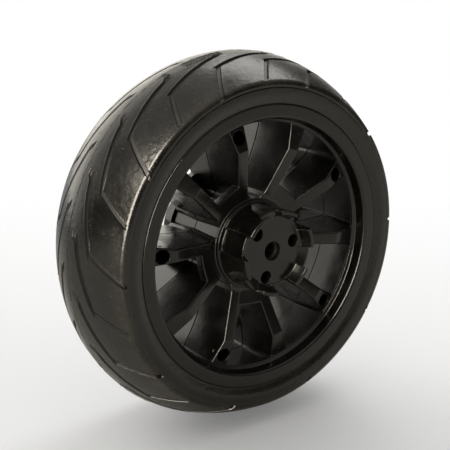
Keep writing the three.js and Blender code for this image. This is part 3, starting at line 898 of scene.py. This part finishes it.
def hub_section(angle):
    """Outside of the drive hub at an angle, from the flat drive face to the back of its flange."""
    tooth, flute = sector_shares(angle)
    flange_back = HUB_PLATE_FACE + GAP
    ledge = flange_back + FLANGE_THICKNESS
    top, dish, inner, outer, foot, inner_edge, outer_edge = mix(mix(NOTCH, TOOTH, tooth), FLUTE, flute)
    return rounded([
        (AXLE_HOLE, -DRIVE_FACE, 0.6), (dish, -DRIVE_FACE, mix(3.2, 2.0, tooth)), (inner, -top, inner_edge),
        (outer, -top, outer_edge), (mix(outer, foot, 0.5), -mix(top, ledge, 0.5), 0), (foot, -ledge, 1.0),
        (RING_RADIUS, -ledge, 0.8), (RING_RADIUS, -flange_back, 0.3),
        (SPIGOT_RADIUS, -flange_back, 0.3), (SPIGOT_RADIUS, -SPIGOT_END, 0.4), (BUSH_BORE, -SPIGOT_END, 0.4),
        (BUSH_BORE, FRONT_WALL - DRIVE_FACE, 0.4), (AXLE_HOLE, FRONT_WALL - DRIVE_FACE, 0.3),
    ], steps=6)


def bolt_cutter():
    """Counterbore with a softened rim, and the bolt's hole below it."""
    return lathe([
        (0, -OUTSIDE, 0), (COUNTERBORE + 0.5, -OUTSIDE, 0), (COUNTERBORE + 0.5, -DRIVE_FACE, 0.1),
        (COUNTERBORE, 0.6 - DRIVE_FACE, 0.4), (COUNTERBORE, -BOLT_SEAT, 0.3),
        (BOLT_RADIUS + GAP, -BOLT_SEAT, 0.2), (BOLT_RADIUS + GAP, 1 - HUB_PLATE_FACE, 0),
        (0, 1 - HUB_PLATE_FACE, 0),
    ], 48)


def drive_hub(finish):
    """Toothed and fluted boss, its sections closest together where one sector turns into the next."""
    offsets = [*np.linspace(-2.6, 2.6, 14), 5, 8, 11, 15, 19, 22, 25]
    angles = [FIRST_BOLT_ANGLE + 15 + 30 * sector + offset for sector in range(12) for offset in offsets]
    rows = [at_angle(hub_section(angle), angle) for angle in angles]
    thing = new_object(np.concatenate(rows), grid_faces(len(rows), len(rows[0])))
    cut(thing, *ring_of(BOLT_ANGLES, BOLT_CIRCLE, bolt_cutter))
    install(thing, "drive_hub", finish)


def rear_hub_plate(finish):
    """Plain boss with three nut pockets, which the bolts pull against the rear half of the rim."""
    flange_front = HUB_PLATE_FACE + GAP
    flange_back = flange_front + FLANGE_THICKNESS
    thing = lathe([
        (BUSH_BORE, SPIGOT_END, 0.4), (SPIGOT_RADIUS, SPIGOT_END, 0.4), (SPIGOT_RADIUS, flange_front, 0.3),
        (FLANGE_RADIUS, flange_front, 0.3), (FLANGE_RADIUS, flange_back, 0.5),
        (REAR_BOSS_RADIUS, flange_back, 1.2), (REAR_BOSS_RADIUS - 0.4, REAR_FACE, 1.4),
        (BUSH_BORE, REAR_FACE, 0.5),
    ], 144)
    end = REAR_FACE + 1
    holes = ring_of(BOLT_ANGLES, BOLT_CIRCLE, rod, BOLT_RADIUS + GAP, HUB_PLATE_FACE, end)
    pockets = ring_of(BOLT_ANGLES, BOLT_CIRCLE, rod, NUT_CORNER_RADIUS + GAP, NUT_SEAT, end, 6)
    cut(thing, *holes, *pockets)
    install(thing, "rear_hub_plate", finish)


# ---- fasteners ----

def cross_cutter(y):
    """Two crossed tapered blades that cut a cross recess into a screw head whose top is at -y."""
    blades = []
    for turned in (0, 90):
        sections = []
        for depth, reach, half in ((-1, 2.3, 0.42), (0, 2.2, 0.4), (1.2, 1.2, 0.34), (1.9, 0.5, 0.3)):
            sections.append([(-reach, -y + depth, -half), (reach, -y + depth, -half),
                             (reach, -y + depth, half), (-reach, -y + depth, half)])
        blades.append(turn(loft(sections), turned))
    return blades


def thread(radius, depth, step, y_from, y_to):
    """Ridges and furrows of a thread, as corners of a lathe's outline."""
    corners = enumerate(np.arange(y_from, y_to, step))
    return [(radius - (0.0 if index % 2 else depth), y, 0) for index, y in corners]


def rim_screw(index, angle, finish):
    """Pan-head screw with a cross recess and a threaded shank."""
    seat = WELL_FLOOR + GAP
    top = seat + SCREW_HEAD_HEIGHT
    thing = lathe([
        (0, -top, 0), (2.6, -top, 1.5), (SCREW_HEAD_RADIUS, 1.3 - top, 0.9), (SCREW_HEAD_RADIUS, -seat, 0.25),
        (SCREW_RADIUS, -seat, 0.2), *thread(SCREW_RADIUS, *SCREW_THREAD, 1.0 - seat, SCREW_END - 2),
        (0.5, SCREW_END, 0.2), (0, SCREW_END, 0),
    ], 40)
    cut(thing, *cross_cutter(top))
    turn(thing, angle, WELL_CIRCLE)
    install(thing, f"rim_screw_{index}", finish)


def hub_bolt(index, angle, finish):
    """Socket-head bolt with a hexagon recess, and thread on the end that its nut takes."""
    seat = BOLT_SEAT + GAP
    top = seat + BOLT_HEAD_HEIGHT
    tail = NUT_SEAT + GAP + NUT_HEIGHT + BOLT_TAIL
    thing = lathe([
        (0, -top, 0), (BOLT_HEAD_RADIUS, -top, 0.5), (BOLT_HEAD_RADIUS, -seat, 0.2),
        (BOLT_RADIUS, -seat, 0.2), *thread(BOLT_RADIUS, *BOLT_THREAD, tail - BOLT_THREAD_LENGTH, tail - 0.6),
        (BOLT_RADIUS - 0.5, tail, 0.1), (0, tail, 0),
    ], 40)
    cut(thing, rod(2.3, -top - 1, -top + 2.6, 6))
    turn(thing, angle, BOLT_CIRCLE)
    install(thing, f"hub_bolt_{index}", finish)


def hub_nut(index, angle, finish):
    """Hexagon nut with turned corners and a countersunk hole."""
    face = NUT_SEAT + GAP
    top = face + NUT_HEIGHT
    thing = rod(NUT_CORNER_RADIUS, face, top, 6)
    reach = NUT_CORNER_RADIUS + 0.05
    turned = lathe([
        (0, face, 0), (NUT_FACE_RADIUS, face, 0.1), (reach, face + 0.5, 0.3),
        (reach, top - 0.5, 0.3), (NUT_FACE_RADIUS, top, 0.1), (0, top, 0),
    ], 48)
    combine(thing, [turned], "INTERSECT")
    hole = BOLT_RADIUS + GAP
    mouth = hole + 0.4
    cut(thing, lathe([
        (0, face - 1, 0), (mouth, face - 1, 0), (mouth, face, 0), (hole, face + 0.4, 0),
        (hole, top - 0.4, 0), (mouth, top, 0), (mouth, top + 1, 0), (0, top + 1, 0),
    ], 40))
    turn(thing, angle, BOLT_CIRCLE)
    install(thing, f"hub_nut_{index}", finish)


# ---- running gear ----

def axle_sleeve(finish):
    """Steel tube for the axle, with a groove for the circlip."""
    front, rear = sleeve_low.y, sleeve_high.y
    clip_low, clip_high = box_mm("sleeve_circlip")
    groove_from, groove_to = clip_low.y - GAP, clip_high.y + GAP
    thing = lathe([
        (SLEEVE_BORE, front, 0.4), (SLEEVE_RADIUS, front, 0.5), (SLEEVE_RADIUS, groove_from, 0.1),
        (CLIP_GROOVE_RADIUS, groove_from, 0.1), (CLIP_GROOVE_RADIUS, groove_to, 0.1),
        (SLEEVE_RADIUS, groove_to, 0.1), (SLEEVE_RADIUS, rear, 0.6), (SLEEVE_BORE, rear, 0.5),
    ], 96)
    install(thing, "axle_sleeve", finish)


def bush(node, finish):
    """Flanged bush; the flange stands at the end nearer the centre plane."""
    low, high = box_mm(node)
    bore = SLEEVE_RADIUS + RUNNING_GAP
    far, near = max(abs(low.y), abs(high.y)), min(abs(low.y), abs(high.y))
    side = 1 if high.y > 0 else -1
    shoulder = near + BUSH_FLANGE_THICKNESS
    outline = [(bore, near, 0.5), (BUSH_FLANGE_RADIUS, near, 0.5), (BUSH_FLANGE_RADIUS, shoulder, 0.5),
               (BUSH_RADIUS, shoulder, 0.3), (BUSH_RADIUS, far, 0.5), (bore, far, 0.6)]
    thing = lathe([(r, side * y, edge) for r, y, edge in outline], 96)
    install(thing, node, finish)


def washer(node, bore, finish):
    """Thin pressed washer, its faces rounded at the edges by the punch."""
    low, high = box_mm(node)
    outline = [(bore, low.y, 0.15), (high.x, low.y, 0.3), (high.x, high.y, 0.15), (bore, high.y, 0.3)]
    install(lathe(outline, 96), node, finish)


def circlip(finish):
    """Open spring ring, wider at the top, with an eye at each end."""
    low, high = box_mm("sleeve_circlip")
    inner = CLIP_GROOVE_RADIUS + GAP
    edge = 0.15
    sections = []
    for angle in np.linspace(-70, 250, 73):
        ends = float(smooth(64, 74, abs(angle - 90) * 0.5 - 6))
        outer = mix(9.1 + 0.5 * math.sin(math.radians(angle)), high.x, ends)
        outline = [(inner, low.y, edge), (outer, low.y, edge), (outer, high.y, edge), (inner, high.y, edge)]
        sections.append(at_angle(rounded(outline), angle))
    thing = loft(sections)
    eyes = [turn(rod(0.6, low.y - 1, high.y + 1, 20), angle, 8.9) for angle in (-62, 242)]
    cut(thing, *eyes)
    install(thing, "sleeve_circlip", finish)


# ---- assembly ----

def build_wheel():
    rubber = rubber_finish()
    rim_plastic = moulded_finish("rim_plastic", RIM_DARK, RIM_PALE, 0.22)
    # holes of the drive hub whose walls get painted shade
    hub_holes = [(AXLE_HOLE, 0, 0), *[(COUNTERBORE, BOLT_CIRCLE, angle) for angle in BOLT_ANGLES]]
    hub_plastic = moulded_finish("hub_plastic", HUB_DARK, HUB_PALE, 0.2, 0.45, hub_holes)
    nylon = nylon_finish()
    zinc = steel_finish("zinc_steel", ZINC_PALE, ZINC_STAIN, 0.3, (1, 1, 1))
    steel = steel_finish("sleeve_steel", STEEL_PALE, STEEL_STAIN, 0.26, (0.15, 6, 0.15), AXLE_HOLE)
    tyre(rubber)
    rims(rim_plastic)
    drive_hub(hub_plastic)
    rear_hub_plate(hub_plastic)
    for index, angle in enumerate(WELL_ANGLES, 1):
        rim_screw(index, angle, zinc)
    for index, angle in enumerate(BOLT_ANGLES, 1):
        hub_bolt(index, angle, zinc)
        hub_nut(index, angle, zinc)
    axle_sleeve(steel)
    bush("front_bush", nylon)
    bush("rear_bush", nylon)
    washer("front_thrust_washer", AXLE_HOLE, steel)
    washer("rear_thrust_washer", SLEEVE_RADIUS + RUNNING_GAP, steel)
    circlip(steel)


# ---- stage, light and camera ----

VIEW_AZIMUTH = math.radians(-36.0)
VIEW_ELEVATION = math.radians(15.93)
VIEW_DISTANCE = 0.7119  # metres from the point looked at
VIEW_SIDEWAYS = -0.0301
VIEW_UP = 0.0170
VIEW_ANGLE = math.radians(25.0)
DIM_LIGHT = 0.08  # brightness of the studio in front of the wheel
BEHIND_LIGHT = 2.8
TOP_LIGHT = 0.8
FLOOR_GLOW = 0.17  # lifts the floor for the camera only, as the backdrop does
BACKDROP_BOUNCE = 0.4  # how bright the white backdrop is to everything but the camera
FLOOR_FADE = (700, 1900)  # distances over which the floor fades to white on every side
FLOOR_REACH = 6.0  # metres from the wheel to the floor's edges
UP = Vector((0, 0, 1))
STUDIO_WARMTH = (0.83, 0.795, 0.72)  # colour of the light on the wheel
FLOOR_PAPER = (0.8, 0.79, 0.76)
FLOOR_SEEN = (0.775, 0.803, 0.87)  # the floor as the camera sees it: neutral under the warm light


def level_axes():
    """Level unit vectors away from the camera and to its right."""
    sine, cosine = math.sin(VIEW_AZIMUTH), math.cos(VIEW_AZIMUTH)
    return Vector((-sine, cosine, 0)), Vector((cosine, sine, 0))


def make_camera():
    """Looks along the viewing angle at the middle of the rim's face, shifted sideways and up."""
    away, right = level_axes()
    back = UP * math.sin(VIEW_ELEVATION) - away * math.cos(VIEW_ELEVATION)
    up = back.cross(right)
    data = bpy.data.cameras.new("camera")
    data.sensor_width = 36
    data.lens = data.sensor_width / 2 / math.tan(VIEW_ANGLE / 2)
    camera = add_to_scene("camera", data)
    camera.matrix_world = Matrix((right, up, back)).transposed().to_4x4()
    face_middle = Vector((0, -RIM_FACE * MM, 0))
    camera.location = face_middle + back * VIEW_DISTANCE + right * VIEW_SIDEWAYS + up * VIEW_UP
    bpy.context.scene.camera = camera


def floor_finish():
    """Pale paper that fades to white behind the wheel and, for the camera, far off on every side."""
    f = Finish("floor_paper")
    away = level_axes()[0]
    seen = f.add("ShaderNodeLightPath").outputs["Is Camera Ray"]
    f.finish(Base_Color=f.blend(seen, FLOOR_PAPER, FLOOR_SEEN), Roughness=0.7,
             Emission_Color=(1.0, 1.0, 1.0), Emission_Strength=f.times(seen, FLOOR_GLOW))
    brightness = f.ramp(seen, 0, 1, BACKDROP_BOUNCE, 1.0)
    white = f.add("ShaderNodeEmission", Color=(1, 1, 1, 1), Strength=brightness).outputs[0]
    behind = f.ramp(f.dot(f.place, away * MM), 0.0, 0.7)
    far_off = f.times(seen, f.ramp(f.hypotenuse(f.radius, f.y), *FLOOR_FADE))
    merged = f.mix_shaders(f.maths("MAXIMUM", behind, far_off), f.surface.outputs[0], white)
    f.feed(f.tree.nodes["Material Output"].inputs["Surface"], merged)
    return f.material


def make_floor():
    """A level square under the wheel."""
    mesh = bpy.data.meshes.new("floor")
    level = -tyre_high.x * MM
    corners = [(x * FLOOR_REACH, y * FLOOR_REACH, level) for x, y in ((-1, -1), (1, -1), (1, 1), (-1, 1))]
    mesh.from_pydata(corners, [], [(0, 1, 2, 3)])
    mesh.materials.append(floor_finish())
    add_to_scene("floor", mesh)


def make_world():
    """White to the camera; to the wheel, bright behind, paler above and dim in front."""
    world = bpy.data.worlds.new("studio")
    bpy.context.scene.world = world
    world.use_nodes = True
    nodes = Nodes(world.node_tree)
    nodes.tree.nodes.clear()
    away, right = level_axes()
    behind = (away - right * 0.9).normalized()
    direction = nodes.add("ShaderNodeTexCoord").outputs["Generated"]
    from_behind = nodes.ramp(nodes.dot(direction, behind), 0.4, 0.95, DIM_LIGHT, BEHIND_LIGHT)
    from_above = nodes.ramp(nodes.dot(direction, UP), 0.3, 1.0, 0.0, TOP_LIGHT)
    glow = nodes.plus(from_behind, from_above)
    to_wheel = nodes.add("ShaderNodeBackground", Color=(*STUDIO_WARMTH, 1), Strength=glow).outputs[0]
    to_camera = nodes.add("ShaderNodeBackground", Color=(1, 1, 1, 1)).outputs[0]
    seen = nodes.add("ShaderNodeLightPath").outputs["Is Camera Ray"]
    nodes.add("ShaderNodeOutputWorld", Surface=nodes.mix_shaders(seen, to_wheel, to_camera))


def soft_light(name, place, width, height, power, colour, only_gloss=False):
    """A soft box that faces the wheel's centre; its width lies level. It may be seen only in reflections."""
    data = bpy.data.lights.new(name, "AREA")
    data.shape = "RECTANGLE"
    data.size = width
    data.size_y = height
    data.energy = power
    data.color = colour
    light = add_to_scene(name, data)
    light.visible_diffuse = not only_gloss
    light.location = place
    light.rotation_mode = "QUATERNION"
    light.rotation_quaternion = place.to_track_quat("Z", "Y")


def make_lights():
    """A weak box over and behind the wheel, and a warm one at the left that only shows as gloss."""
    away, right = level_axes()
    soft_light("top_back", away * 0.9 + UP * 1.25 + right * 0.45, width=1.0, height=0.7, power=7,
               colour=(1, 0.98, 0.94))
    soft_light("left_box", Vector((-1.14, -0.56, 0.64)), width=0.55, height=1.4, power=52,
               colour=(1, 0.92, 0.78), only_gloss=True)


build_wheel()
make_floor()
make_world()
make_lights()
make_camera()
bpy.context.scene.view_settings.view_transform = "Standard"
